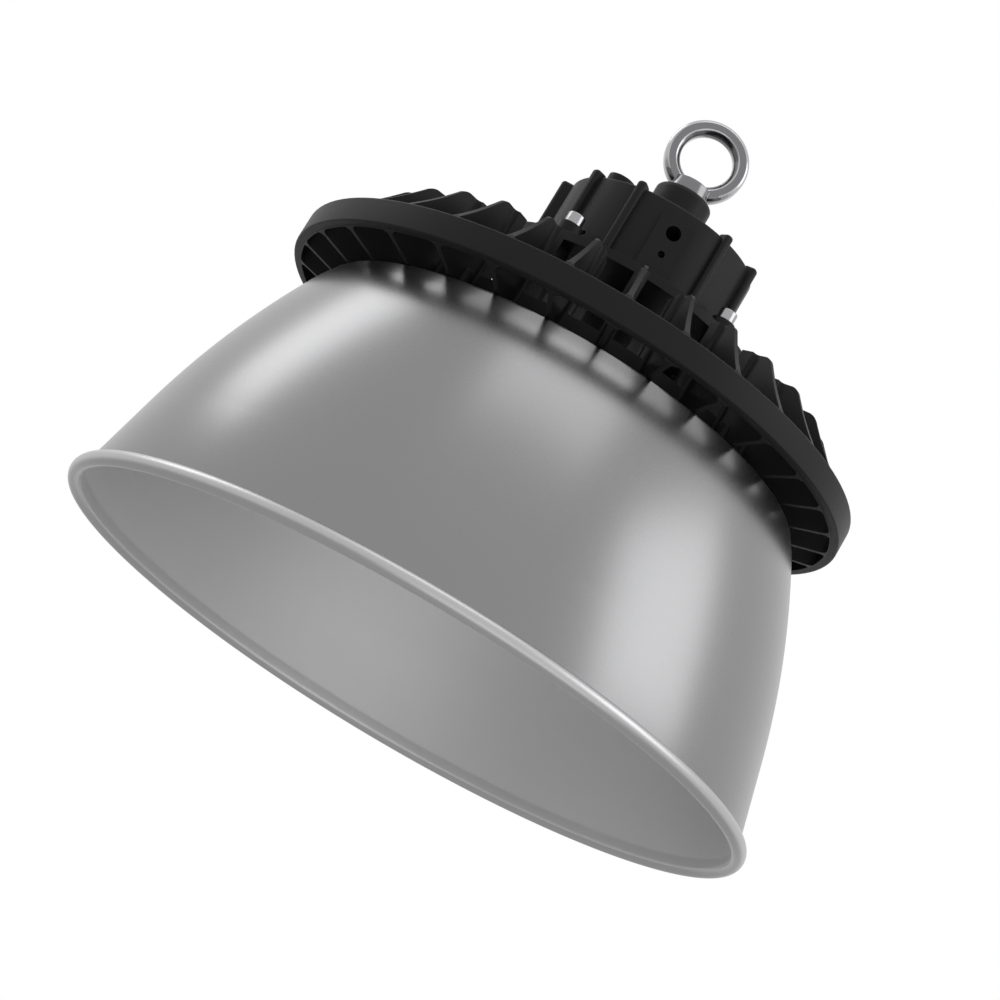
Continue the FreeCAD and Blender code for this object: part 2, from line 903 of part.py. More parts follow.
def join(label, parts):
    """Fuses what is one piece in the real light."""
    item = doc.addObject("Part::MultiFuse", label)
    item.Shapes = parts
    item.Refine = True
    return item


def collect(label, parts, turn=0):
    """Gathers like pieces, each still a solid of its own, in one node."""
    item = doc.addObject("Part::Compound", label)
    item.Label = label
    item.Links = parts
    if turn:
        item.Placement = FreeCAD.Placement(V(0, 0, 0), V(0, 0, 1), size(turn).value)
        item.setExpression("Placement.Rotation.Angle", size(turn).text)
    return item


def ring_places(circle, count, first=0):
    """Evenly spread places on a circle about the axis."""
    step = size(FULL_TURN) / count
    return [around(circle, size(first) + step * index) for index in range(int(size(count).value))]


def make_driver_screws():
    """Socket cap screws that pull the housing down on the pillars."""
    tip = size("screw_boss_top") - "cap_screw_length"
    top = size("screw_boss_top") + "cap_head_high"
    kind = ("cap_head_rad", "cap_screw_rad")
    screws = []
    for place in ring_places("pillar_circle", "pillar_count", size("driver_turn") + EIGHTH_TURN):
        body = screw_body("driver_screw", place, kind, top, "screw_boss_top", tip)
        key = doc.addObject("Part::Prism", "key")
        key.Polygon = 6
        bind(key, Circumradius=size("hex_key") / (2 * cosine(size(30))), Height=size("cap_head_high") / 2)
        stand_at(key, place, top - size("cap_head_high") / 2)
        screw = doc.addObject("Part::Cut", "socket")
        screw.Base = body
        screw.Tool = key
        screws.append(screw)
    return collect("driver_screws", screws)


def screw_body(label, place, kind, top, bearing, tip):
    """A head from `top` to the bearing face and a plain shank from there to the tip, either end up."""
    head_rad, shank_rad = kind
    top, bearing, tip = size(top), size(bearing), size(tip)
    up = 1 if top.value > bearing.value else -1
    head = doc.addObject("Part::Cylinder", label + "_head")
    shank = doc.addObject("Part::Cylinder", label + "_shank")
    bind(head, Radius=head_rad, Height=(top - bearing) * up)
    bind(shank, Radius=shank_rad, Height=(bearing - tip) * up)
    stand_at(head, place, bearing if up > 0 else top)
    stand_at(shank, place, tip if up > 0 else bearing)
    return join(label, [head, shank])


def make_screw_set(label, places, kind, top, bearing, tip, turn=0):
    """Like screws at several places, in one node."""
    screws = [screw_body(label + "_one", place, kind, top, bearing, tip) for place in places]
    return collect(label, screws, turn)


# Eye bolt


def make_eye_bolt():
    """The forged eye bolt: flat-sided ring with bevelled edges, collar and shank."""
    ring = doc.addObject("PartDesign::Body", "eye_ring")
    half = size("eye_thick") / 2
    outer = size("eye_rad")
    bore = size("eye_bore")
    land = size("eye_land") / 2
    bevel = size("eye_outer_bevel")
    # drawn about its own Z axis, then stood upright with that axis along Y
    turned(
        ring,
        [
            (bore, -land),
            (bore + half - land, -half),
            (outer - bevel, -half),
            (outer, bevel - half),
            (outer, half - bevel),
            (outer - bevel, half),
            (bore + half - land, half),
            (bore, land),
        ],
    )
    height = size("eye_height")
    ring.Placement = FreeCAD.Placement(V(0, 0, height.value), FreeCAD.Rotation(V(1, 0, 0), 90))
    ring.setExpression("Placement.Base.z", height.text)

    stem = doc.addObject("PartDesign::Body", "eye_stem")
    collar_low = size("neck_top")
    tip = collar_low - "bolt_length"
    crown = size("collar_top")
    turned(
        stem,
        [
            (0, tip),
            (size("bolt_rad") - "bolt_chamfer", tip),
            ("bolt_rad", tip + "bolt_chamfer"),
            ("bolt_rad", collar_low),
            ("collar_rad", collar_low),
            ("collar_rad", crown - "collar_shoulder", "collar_round"),
            (size("collar_rad") - "collar_slope", crown),
            (0, crown),
        ],
    )
    bolt = join("eye_bolt", [ring, stem])
    bolt.Label = "eye_bolt"
    return bolt


def make_eye_nut():
    """Hexagon nut that locks the eye bolt against the underside of the roof."""
    low = size("ceiling") - "eye_washer_thick" - "eye_nut_high"
    return make_collar_piece("eye_nut", "eye_nut_across", "eye_nut_high", low, 6)


def make_eye_washer():
    """Plain washer between the nut and the roof."""
    low = size("ceiling") - "eye_washer_thick"
    return make_collar_piece("eye_washer", "eye_washer_across", "eye_washer_thick", low, 0)


def make_collar_piece(label, across, high, low, sides):
    """A round or hexagonal piece with the bolt's hole through it."""
    if sides:
        blank = doc.addObject("Part::Prism", label + "_blank")
        blank.Polygon = sides
        bind(blank, Circumradius=size(across) / (2 * cosine(size(30))), Height=high)
    else:
        blank = doc.addObject("Part::Cylinder", label + "_blank")
        bind(blank, Radius=size(across) / 2, Height=high)
    hole = doc.addObject("Part::Cylinder", label + "_hole")
    bind(hole, Radius="bolt_rad", Height=high)
    for item in (blank, hole):
        stand_at(item, (0, 0), low)
    piece = doc.addObject("Part::Cut", label)
    piece.Label = label
    piece.Base = blank
    piece.Tool = hole
    return piece


# Light source


def make_led_board():
    """Aluminium-backed board, with a hole at its middle for the two wires."""
    item = new_body("led_board")
    low = size("disc_low") - "board_thick"
    high = size("disc_low")
    turned(item, [("wire_hole", low), ("board_rad", low), ("board_rad", high), ("wire_hole", high)])
    drill = new_sketch(item, "XY_Plane", low)
    draw_circles(drill, [(*around("board_screw_circle", 0), "small_screw_rad")])
    hole = cut_away(item, drill, "board_thick", Reversed=True)
    repeated(item, [hole], "board_screw_count")
    return item


def chip_places():
    """Three rings of six, twelve and eighteen."""
    places = []
    for ring in range(SIZES["chip_rings"]):
        circle = size("chip_first_ring") + size("chip_ring_step") * ring
        count = SIZES["chip_ring_count"] * (ring + 1)
        places += ring_places(circle, count, 180.0 / count)
    return places


def make_led_chips():
    """The light-emitting diodes, as plain square packages."""
    chips = []
    low = size("disc_low") - "board_thick" - "chip_high"
    half = size("chip_side") / 2
    for across, up in chip_places():
        chip = doc.addObject("Part::Box", "chip")
        bind(chip, Length="chip_side", Width="chip_side", Height="chip_high")
        stand_at(chip, (across - half, up - half), low)
        chips.append(chip)
    return collect("led_chips", chips)


def make_led_connector():
    """The block under the board that the wires end in."""
    low = size("disc_low") - "board_thick" - "connector_high"
    block = doc.addObject("Part::Box", "led_connector")
    block.Label = "led_connector"
    bind(block, Length="connector_wide", Width="connector_deep", Height="connector_high")
    stand_at(block, (-(size("connector_wide") / 2), -(size("connector_deep") / 2)), low)
    return block


def lens_top():
    """The height of the cover's upper face."""
    return size("shade_top") - "lens_seat" + "lens_thick"


def make_lens_cover():
    """Clear moulded cover: a plate with a dome under each chip."""
    item = new_body("lens_cover")
    high = lens_top()
    low = high - "lens_thick"
    turned(item, [(0, low), ("lens_rad", low), ("lens_rad", high), (0, high)])
    domes = new_sketch(item, "XY_Plane", low)
    draw_circles(domes, [(*place, "dome_rad") for place in chip_places()])
    dome = grown(item, domes, "dome_high", Reversed=True)
    bind(dome, TaperAngle=-size("dome_draft"))
    drill = new_sketch(item, "XY_Plane", low)
    draw_circles(drill, [(*around("lens_screw_circle", 0), "small_screw_rad")])
    hole = cut_away(item, drill, "lens_thick", Reversed=True)
    repeated(item, [hole], "lens_screw_count")
    return item


def make_flat_ring(label, inner, outer, low, thick, circle, count):
    """A flat ring with a circle of screw holes."""
    item = new_body(label)
    low = size(low)
    high = low + thick
    turned(item, [(inner, low), (outer, low), (outer, high), (inner, high)])
    drill = new_sketch(item, "XY_Plane", low)
    draw_circles(drill, [(*around(circle, 0), "small_screw_rad")])
    hole = cut_away(item, drill, thick, Reversed=True)
    repeated(item, [hole], count)
    return item


# The driver's works


def make_driver_board():
    """The round circuit board on its spacers."""
    item = new_body("driver_board", "driver_turn")
    low = size("circuit_low")
    high = low + "board_thick"
    turned(item, [(0, low), ("circuit_rad", low), ("circuit_rad", high), (0, high)])
    return item


def make_board_spacers():
    """The four pegs between the base plate and the circuit board."""
    low = size("driver_low") + "base_plate_thick"
    spacers = []
    for place in ring_places("spacer_circle", 4, "spacer_turn"):
        spacer = doc.addObject("Part::Cylinder", "spacer")
        bind(spacer, Radius="spacer_rad", Height=size("circuit_low") - low)
        stand_at(spacer, place, low)
        spacers.append(spacer)
    return collect("board_spacers", spacers, "driver_turn")


def circuit_top():
    """The height of the circuit board's upper face."""
    return size("circuit_low") + "board_thick"


def make_transformer_core():
    """Ferrite core with two windows, its middle leg inside the bobbin."""
    item = new_body("transformer_core", "driver_turn")
    sketch = new_sketch(item, "XZ_Plane", -(size("core_back") + "core_deep"))
    low = circuit_top()
    across = size("core_across")
    half = size("core_wide") / 2
    leg = size("core_leg")
    draw_outline(
        sketch,
        [
            (across - half, low),
            (across + half, low),
            (across + half, low + "core_high"),
            (across - half, low + "core_high"),
        ],
    )
    grown(item, sketch, "core_deep")
    windows = new_sketch(item, "XZ_Plane", -(size("core_back")))
    for side in (-1, 1):
        near = leg * side
        far = (half - leg) * side
        left, right = (near, far) if side > 0 else (far, near)
        draw_outline(
            windows,
            [
                (across + left, low + leg),
                (across + right, low + leg),
                (across + right, low + "core_high" - leg),
                (across + left, low + "core_high" - leg),
            ],
        )
    cut_away(item, windows, "core_deep")
    return item


def make_transformer_bobbin():
    """The wound bobbin round the core's middle leg."""
    item = new_body("transformer_bobbin", "driver_turn")
    low = circuit_top() + "core_leg"
    across = size("core_across")
    leg = size("core_leg")
    half = size("core_wide") / 2 - leg
    back = size("core_back")
    sketch = new_sketch(item, "XY_Plane", low)
    winding = size("core_winding")
    middle = back + size("core_deep") / 2
    deep = size("core_deep") / 2
    draw_outline(
        sketch,
        [
            (across - half, middle - deep - winding),
            (across + half, middle - deep - winding),
            (across + half, middle + deep + winding),
            (across - half, middle + deep + winding),
        ],
    )
    draw_outline(
        sketch,
        [
            (across - leg, middle - deep),
            (across + leg, middle - deep),
            (across + leg, middle + deep),
            (across - leg, middle + deep),
        ],
    )
    grown(item, sketch, size("core_high") - leg * 2)
    return item


def make_standing(label, kind, places, **settings):
    """Plain components that stand on the driver's board."""
    pieces = []
    for across, up in places:
        piece = doc.addObject("Part::" + kind, label + "_piece")
        bind(piece, **settings)
        stand_at(piece, (across, up), circuit_top())
        pieces.append(piece)
    return collect(label, pieces, "driver_turn")


def make_choke():
    """Wound ring choke that lies on the board."""
    item = new_body("choke", "driver_turn")
    low = circuit_top()
    sketch = new_sketch(item, "XY_Plane", low)
    place = ("choke_place", "choke_place")
    draw_circles(sketch, [(*place, "choke_rad"), (*place, size("choke_rad") / 2)])
    grown(item, sketch, "choke_high")
    return item


def make_heat_spreader():
    """Bent aluminium angle that the transistor is clipped to."""
    item = new_body("heat_spreader", "driver_turn")
    low = circuit_top()
    thick = size("spreader_thick")
    sketch = new_sketch(item, "YZ_Plane", "spreader_across")
    front = size("spreader_foot_front")
    back = size("spreader_back")
    draw_outline(
        sketch,
        [
            (front, low),
            (back, low),
            (back, low + "spreader_high"),
            (back - thick, low + "spreader_high"),
            (back - thick, low + thick),
            (front, low + thick),
        ],
    )
    grown(item, sketch, "spreader_wide")
    return item


def make_wire_grommet():
    """Rubber sleeve at the top of the wire column."""
    item = new_body("wire_grommet")
    high = size("driver_low") + "base_plate_thick"
    low = high - "grommet_long"
    turned(item, [("grommet_bore", low), ("column_bore", low), ("column_bore", high), ("grommet_bore", high)])
    return item


def make_led_leads():
    """The two wires from the driver's board to the connector of the light source."""
    low = size("disc_low") - "board_thick"
    wires = []
    for side in (-1, 1):
        wire = doc.addObject("Part::Cylinder", "wire")
        bind(wire, Radius="wire_rad", Height=size("circuit_low") - low)
        stand_at(wire, (size("wire_spread") * side, size(0)), low)
        wires.append(wire)
    return collect("led_leads", wires)


def build_all():
    """Makes every piece, each under its node's name."""
    small = ("small_head_rad", "small_screw_rad")
    disc_low = size("disc_low")
    lens_low = lens_top() - "lens_thick"
    ring_low = lens_low - "lens_ring_thick"
    driver_low = size("driver_low")
    shade_under = size("shade_top") - "sheet_thick"
    make_reflector()
    make_heat_sink()
    make_driver_housing()
    make_base_plate()
    make_driver_gasket()
    make_driver_screws()
    make_eye_bolt()
    make_eye_nut()
    make_eye_washer()
    make_led_board()
    make_led_chips()
    make_led_connector()
    make_lens_cover()
    gasket_high = disc_low - lens_top()
    make_flat_ring(
        "lens_gasket", "lens_gasket_inner", "lens_rad", lens_top(), gasket_high,
        "lens_screw_circle", "lens_screw_count",
    )
    make_flat_ring(
        "lens_ring", "lens_ring_inner", "lens_rad", ring_low, "lens_ring_thick",
        "lens_screw_circle", "lens_screw_count",
    )
    make_screw_set(
        "lens_screws", ring_places("lens_screw_circle", "lens_screw_count"), small,
        ring_low - "small_head_high", ring_low, disc_low + "small_screw_grip",
    )
    board_low = disc_low - "board_thick"
    make_screw_set(
        "led_board_screws", ring_places("board_screw_circle", "board_screw_count"), small,
        board_low - "small_head_high", board_low, disc_low + "small_screw_grip",
    )
    make_screw_set(
        "reflector_screws", ring_places("boss_circle", "boss_count", boss_turn()),
        ("shade_head_rad", "shade_screw_rad"),
        shade_under - "shade_head_high", shade_under, size("boss_top") - "shade_screw_short",
    )
    make_screw_set(
        "base_plate_screws", [around("base_screw_circle", turn) for turn in base_screw_turns()], small,
        driver_low - "small_head_high", driver_low, driver_low + "base_screw_length", "driver_turn",
    )
    make_driver_board()
    make_board_spacers()
    make_transformer_core()
    make_transformer_bobbin()
    make_standing(
        "bulk_capacitors", "Cylinder",
        [("capacitor_across", "capacitor_front"), ("capacitor_across", "capacitor_back")],
        Radius="capacitor_rad", Height="capacitor_high",
    )
    make_standing(
        "film_capacitor", "Box", [("film_across", "film_back")],
        Length="film_long", Width="film_thick", Height="film_high",
    )
    make_standing(
        "terminal_block", "Box", [("block_across", "block_front")],
        Length="block_long", Width="block_deep", Height="block_high",
    )
    make_standing(
        "transistor", "Box", [("transistor_across", "transistor_front")],
        Length="transistor_wide", Width="transistor_thick", Height="transistor_high",
    )
    make_choke()
    make_heat_spreader()
    make_wire_grommet()
    make_led_leads()


NODES = (
    "reflector", "heat_sink", "driver_housing", "driver_base_plate", "driver_gasket", "driver_screws",
    "eye_bolt", "eye_nut", "eye_washer", "led_board", "led_chips", "led_connector", "lens_cover",
    "lens_gasket", "lens_ring", "lens_screws", "led_board_screws", "reflector_screws",
    "base_plate_screws", "driver_board", "board_spacers", "transformer_core", "transformer_bobbin",
    "bulk_capacitors", "film_capacitor", "terminal_block", "transistor", "choke", "heat_spreader",
    "wire_grommet", "led_leads",
)


def check_and_write():
    """Writes one file for each node, once every object is sound."""
    doc.recompute()
    for item in doc.Objects:
        if "Invalid" in item.State or "Error" in item.State:
            raise ValueError("%s is not sound: %s" % (item.Label, item.State))
    os.makedirs("parts", exist_ok=True)
    for label in NODES:
        shape = doc.getObjectsByLabel(label)[0].Shape
        if shape.isNull() or not shape.isValid():
            raise ValueError("%s has no valid shape" % label)
        shape.exportStep("parts/%s.step" % label)
        print(label, len(shape.Solids), round(shape.Volume))


build_all()
check_and_write()
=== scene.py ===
# %% [markdown]
# # A high bay light
# This lesson dresses a pendant light for a workshop roof: a deep spun aluminium shade, a black die-cast
# heat sink with thirty fins, a round driver case and a forged eye bolt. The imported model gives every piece
# its size and place. Here the spun and forged pieces are modelled again with finer curves, the castings get
# rounded edges, and every surface gets the finish that its maker would give it.

import json
import math

import bmesh
import bpy
from mathutils import Matrix, Vector


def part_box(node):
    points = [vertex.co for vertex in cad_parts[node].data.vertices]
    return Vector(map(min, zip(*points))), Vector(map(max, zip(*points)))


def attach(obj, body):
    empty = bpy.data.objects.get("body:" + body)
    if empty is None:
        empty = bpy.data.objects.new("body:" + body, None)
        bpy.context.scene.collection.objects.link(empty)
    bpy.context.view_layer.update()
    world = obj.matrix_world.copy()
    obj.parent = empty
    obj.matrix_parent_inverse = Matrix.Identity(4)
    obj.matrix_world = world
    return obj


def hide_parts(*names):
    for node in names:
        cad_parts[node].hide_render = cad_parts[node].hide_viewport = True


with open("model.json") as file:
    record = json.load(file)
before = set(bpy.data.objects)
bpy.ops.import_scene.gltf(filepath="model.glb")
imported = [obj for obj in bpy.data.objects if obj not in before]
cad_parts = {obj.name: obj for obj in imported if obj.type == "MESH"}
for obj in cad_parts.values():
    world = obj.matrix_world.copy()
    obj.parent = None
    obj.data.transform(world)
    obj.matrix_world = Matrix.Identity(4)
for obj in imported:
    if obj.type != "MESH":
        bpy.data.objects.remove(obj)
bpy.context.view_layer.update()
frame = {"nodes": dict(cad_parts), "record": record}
nodes = frame["nodes"]
MM = 0.001

# %% [markdown]
# ## Camera
# The light is seen from a little below its rim, from the front, and the view is rolled by about thirty
# degrees. A camera in Blender looks along its own -Z. So it is aimed with a track quaternion, and the roll is
# added about its own Z axis. A lens of 110 mm keeps the shade's ellipse slim, as a long lens does.

# %% Place the camera
CAMERA_PLACE = Vector((0.0, -1.5815, -0.3002))
CAMERA_AIM = Vector((-0.0023, 0.0, 0.1121))
CAMERA_ROLL = 30.82
LENS = 109.6
SENSOR = 36.0
FARTHEST = 60.0

lens = bpy.data.cameras.new("camera")
lens.lens = LENS
lens.sensor_width = SENSOR
lens.clip_end = FARTHEST
camera = bpy.data.objects.new("camera", lens)
bpy.context.scene.collection.objects.link(camera)
aim = (CAMERA_AIM - CAMERA_PLACE).to_track_quat("-Z", "Y").to_matrix().to_4x4()
roll = Matrix.Rotation(math.radians(CAMERA_ROLL), 4, "Z")
camera.matrix_world = Matrix.Translation(CAMERA_PLACE) @ aim @ roll
bpy.context.scene.camera = camera
bpy.context.scene.view_settings.view_transform = "Standard"
print("camera at", tuple(round(v, 3) for v in camera.matrix_world.translation))

# %% [markdown]
# ## Helpers for materials
# A colour is easiest to name as the hex value that a paint chart or a picker gives, but a shader works in
# linear light, so one function turns one into the other. One more function adds any node with its settings
# and links, and every material below is built from these two.


# %% Colour and node helpers
def colour(hex_text):
    """Turns an sRGB hex value into linear red, green, blue and a full alpha."""
    channels = [int(hex_text[i : i + 2], 16) / 255 for i in (1, 3, 5)]
    linear = [c / 12.92 if c <= 0.04045 else ((c + 0.055) / 1.055) ** 2.4 for c in channels]
    return (*linear, 1.0)


def add_node(tree, kind, settings=None, values=None, links=None):
    """Adds a node: `settings` are its properties, `values` its sockets, `links` the outputs that feed it."""
    node = tree.nodes.new(kind)
    for name, setting in (settings or {}).items():
        setattr(node, name, setting)
    for name, value in (values or {}).items():
        node.inputs[name].default_value = value
    for name, output in (links or {}).items():
        tree.links.new(output, node.inputs[name])
    return node


def new_material(name):
    """An empty material with its shader and output joined, and its tree ready for more nodes."""
    material = bpy.data.materials.new(name)
    material.use_nodes = True
    tree = material.node_tree
    tree.nodes.clear()
    shader = add_node(tree, "ShaderNodeBsdfPrincipled")
    add_node(tree, "ShaderNodeOutputMaterial", links={"Surface": shader.outputs["BSDF"]})
    return material, tree, shader


print("material helpers ready")

# %% [markdown]
# ## Floor
# A high bay light hangs some metres up, so the floor lies far below it: a wide plane in pale floor paint. It
# isn't part of the light.

# %% Floor
FLOOR_DROP = 3.2
FLOOR_SIDE = 40.0
bpy.ops.object.select_all(action="DESELECT")
bpy.ops.mesh.primitive_plane_add(size=FLOOR_SIDE, location=(0, 0, -FLOOR_DROP))
floor = bpy.context.object
floor.name = "floor"
floor_paint, tree, shader = new_material("pale floor paint")
shader.inputs["Base Color"].default_value = colour("#F4F4F4")
shader.inputs["Roughness"].default_value = 0.7
floor.data.materials.append(floor_paint)
print("floor", FLOOR_DROP, "m below the rim")

# %% [markdown]
# ## World
# The world is white wherever the camera, a mirror or a lens looks, and dimmer as a source of diffuse light.
# That leaves the shaping of the form to the lamps. The Light Path node tells the kinds of ray apart, and the
# largest of its three outputs chooses between the two strengths.

# %% World
AMBIENT = 0.55
world = bpy.data.worlds.new("studio")
bpy.context.scene.world = world
world.use_nodes = True
tree = world.node_tree
tree.nodes.clear()
rays = add_node(tree, "ShaderNodeLightPath")
seen = rays.outputs["Is Camera Ray"]
for kind in ("Is Glossy Ray", "Is Transmission Ray"):
    either = {0: seen, 1: rays.outputs[kind]}
    seen = add_node(tree, "ShaderNodeMath", {"operation": "MAXIMUM"}, links=either).outputs[0]
strength = add_node(
    tree, "ShaderNodeMapRange", values={"To Min": AMBIENT, "To Max": 1.0}, links={"Value": seen}
)
sky = add_node(
    tree,
    "ShaderNodeBackground",
    values={"Color": (1, 1, 1, 1)},
    links={"Strength": strength.outputs["Result"]},
)
add_node(tree, "ShaderNodeOutputWorld", links={"Surface": sky.outputs["Background"]})
print("world ready")

# %% [markdown]
# ## Lamps
# Satin metal shows its form by the soft shapes that it reflects. Two soft boxes high at the sides draw the
# two bright bands down the shade, one over the front lights its shoulder, and a wide one below reaches into
# the shade. All stay weak, so that a colour comes out about as it is written.


# %% Soft boxes
def soft_box(name, place, wide, high, power):
    """A rectangular lamp that faces the middle of the light."""
    lamp = bpy.data.lights.new(name, "AREA")
    lamp.shape = "RECTANGLE"
    lamp.size = wide
    lamp.size_y = high
    lamp.energy = power
    item = bpy.data.objects.new(name, lamp)
    bpy.context.scene.collection.objects.link(item)
    item.location = place
    item.rotation_euler = (LIGHT_MIDDLE - Vector(place)).to_track_quat("-Z", "Y").to_euler()


LIGHT_MIDDLE = Vector((0, 0, 0.15))
soft_box("left_box", (-1.5, 0.45, 1.35), 0.7, 1.0, 5.5)
soft_box("right_box", (1.68, -0.68, 1.27), 1.4, 1.2, 10)
soft_box("top_box", (-0.1, -0.9, 2.1), 1.4, 0.9, 5)
soft_box("low_box", (0.9, -2.3, -0.9), 3.6, 1.2, 11)

# %% [markdown]
# ## Helpers for modelling
# Blender's operators act on what is selected, so one function selects a single object, and the others begin
# with it. The last one is the end of each piece: its place goes into its mesh, it gets its finish and the body
# that it rides on, and it hides the imported node that it stands for.


# %% Helpers for selecting, smoothing and finishing
def choose(item):
    """Makes one object the only selected one."""
    bpy.ops.object.select_all(action="DESELECT")
    item.select_set(True)
    bpy.context.view_layer.objects.active = item


def smooth(item, angle):
    """Smooths every edge that is flatter than the angle in degrees and keeps the others sharp."""
    choose(item)
    bpy.ops.object.shade_smooth_by_angle(angle=math.radians(angle))


def use_modifier(item, kind, **settings):
    """Adds a modifier with its settings and applies it at once."""
    choose(item)
    modifier = item.modifiers.new(kind.title(), kind)
    for name, setting in settings.items():
        setattr(modifier, name, setting)
    bpy.ops.object.modifier_apply(modifier=modifier.name)


def settle(item, material, replaced):
    """The last step of each piece: place in the mesh, finish, body and the node it stands for."""
    choose(item)
    bpy.ops.object.transform_apply(location=True, rotation=True, scale=True)
    item.data.materials.clear()
    item.data.materials.append(material)
    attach(item, "root")
    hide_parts(replaced)
    item.data.calc_loop_triangles()
    print(item.name, "triangles", len(item.data.loop_triangles))


print("modelling helpers ready")

# %% [markdown]
# ## Helpers for turned pieces
# The shade, the eye and the screws are round about an axis, and the real ones are made on a lathe, a
# spinning tool or a heading machine. So each starts as a half section that is drawn point by point, by
# extruding one vertex, and is then spun once round. A Screw modifier could do it too, but a spin leaves
# plain faces at once.


# %% Helpers for drawing and spinning a section
def arc(centre, radius, start, end, count):
    """Points on an arc, from one angle in degrees to another."""
    points = []
    for index in range(count + 1):
        turn = math.radians(start + (end - start) * index / count)
        points.append((centre[0] + radius * math.cos(turn), centre[1] + radius * math.sin(turn)))
    return points


def draw_section(name, points, closed=True):
    """A chain of edges through (radius, height) points in millimetres, drawn by extruding one vertex."""
    bpy.ops.object.select_all(action="DESELECT")
    bpy.ops.mesh.primitive_plane_add(size=MM)
    item = bpy.context.object
    item.name = name
    item.data.name = name
    bpy.ops.object.mode_set(mode="EDIT")
    bpy.ops.mesh.select_all(action="SELECT")
    bpy.ops.mesh.merge(type="CENTER")
    bpy.ops.transform.translate(value=(points[0][0] * MM, 0, points[0][1] * MM))
    following = points[1:] + points[:1] if closed else points[1:]
    for before, after in zip(points, following):
        step = ((after[0] - before[0]) * MM, 0, (after[1] - before[1]) * MM)
        bpy.ops.mesh.extrude_region_move(TRANSFORM_OT_translate={"value": step})
    bpy.ops.mesh.select_all(action="SELECT")
    bpy.ops.mesh.remove_doubles(threshold=SAME_POINT)
    bpy.ops.object.mode_set(mode="OBJECT")
    return item


def spin_section(item, steps):
    """Spins the section once round the Z axis, closes seam and poles, and turns its faces outwards."""
    choose(item)
    bpy.ops.object.mode_set(mode="EDIT")
    bpy.ops.mesh.select_all(action="SELECT")
    bpy.ops.mesh.spin(steps=steps, angle=math.tau, center=(0, 0, 0), axis=(0, 0, 1))
    bpy.ops.mesh.select_all(action="SELECT")
    bpy.ops.mesh.remove_doubles(threshold=SAME_POINT)
    bpy.ops.mesh.normals_make_consistent(inside=False)
    bpy.ops.object.mode_set(mode="OBJECT")
    return item


SAME_POINT = 1e-6
print("points nearer than", SAME_POINT / MM, "mm are merged")

# %% [markdown]
# ## Helpers for copies
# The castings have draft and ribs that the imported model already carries, so those are copied, and only their
# edges and skin are worked on here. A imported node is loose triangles, so a copy is merged into one skin. What
# repeats, such as a screw, is modelled once, and each copy gets its own mesh.


# %% Helpers for copying
def merged_copy(node_name, name):
    """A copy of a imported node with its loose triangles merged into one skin."""
    item = nodes[node_name].copy()
    item.data = nodes[node_name].data.copy()
    item.name = name
    item.data.name = name
    item.parent = None
    item.matrix_world = Matrix.Identity(4)
    bpy.context.scene.collection.objects.link(item)
    choose(item)
    if item.data.has_custom_normals:
        bpy.ops.mesh.customdata_custom_splitnormals_clear()
    bpy.ops.object.mode_set(mode="EDIT")
    bpy.ops.mesh.select_all(action="SELECT")
    bpy.ops.mesh.remove_doubles(threshold=SAME_POINT)
    bpy.ops.object.mode_set(mode="OBJECT")
    return item


def around(circle, turn, height):
    """A place at an angle from the front on a circle of a radius in millimetres, at a height in metres."""
    return (circle * MM * math.sin(turn), -circle * MM * math.cos(turn), height)


def separate_copies(item, places):
    """Copies a piece, each with its own mesh, to every place and turn, and joins them under its name."""
    name = item.name
    copies = []
    for place, turn in places:
        copy = item.copy()
        copy.data = item.data.copy()
        bpy.context.scene.collection.objects.link(copy)
        choose(copy)
        copy.location = place
        copy.rotation_euler = (0, 0, turn)
        bpy.ops.object.transform_apply(location=True, rotation=True, scale=True)
        copies.append(copy)
    choose(item)
    bpy.ops.object.delete()
    for copy in copies:
        copy.select_set(True)
    bpy.context.view_layer.objects.active = copies[0]
    bpy.ops.object.join()
    bpy.context.object.name = name
    return bpy.context.object


print("copying helpers ready")

# %% [markdown]
# ## Finishes
# Each finish starts from what the real one is. Its pattern is noise whose features have a size in
# millimetres, read from Object coordinates, because every piece has its place in its own mesh. The noise
# does two things: it lets the gloss wander a little, and it gives the skin a fine relief. Where a tool, a
# mould or a coat of paint leaves a radius, the relief lies on edges that a Bevel node rounds.


# %% Finish maker
def finish(name, hex_text, low, high, grain_mm=0.6, depth_mm=0.01, metallic=0.0, edge_mm=0.0, **values):
    """A finish of one colour, with roughness from low to high and a fine grain in its gloss and skin."""
    material, tree, shader = new_material(name)
    shader.inputs["Base Color"].default_value = colour(hex_text)
    shader.inputs["Metallic"].default_value = metallic
    for socket, value in values.items():
        shader.inputs[socket.replace("_", " ")].default_value = value
    place = add_node(tree, "ShaderNodeTexCoord")
    noise = add_node(
        tree,
        "ShaderNodeTexNoise",
        values={"Scale": 1.0 / (grain_mm * MM), "Detail": 2.0, "Roughness": 0.55},
        links={"Vector": place.outputs["Object"]},
    )
    gloss = add_node(
        tree,
        "ShaderNodeMapRange",
        values={"From Min": 0.3, "From Max": 0.7, "To Min": low, "To Max": high},
        links={"Value": noise.outputs["Fac"]},
    )
    tree.links.new(gloss.outputs["Result"], shader.inputs["Roughness"])
    under = {"Height": noise.outputs["Fac"]}
    if edge_mm:
        soft_edge = add_node(tree, "ShaderNodeBevel", {"samples": 6}, {"Radius": edge_mm * MM})
        under["Normal"] = soft_edge.outputs["Normal"]
    relief = add_node(
        tree, "ShaderNodeBump", values={"Strength": 1.0, "Distance": depth_mm * MM}, links=under
    )
    tree.links.new(relief.outputs["Normal"], shader.inputs["Normal"])
    return material


print("finish maker ready")
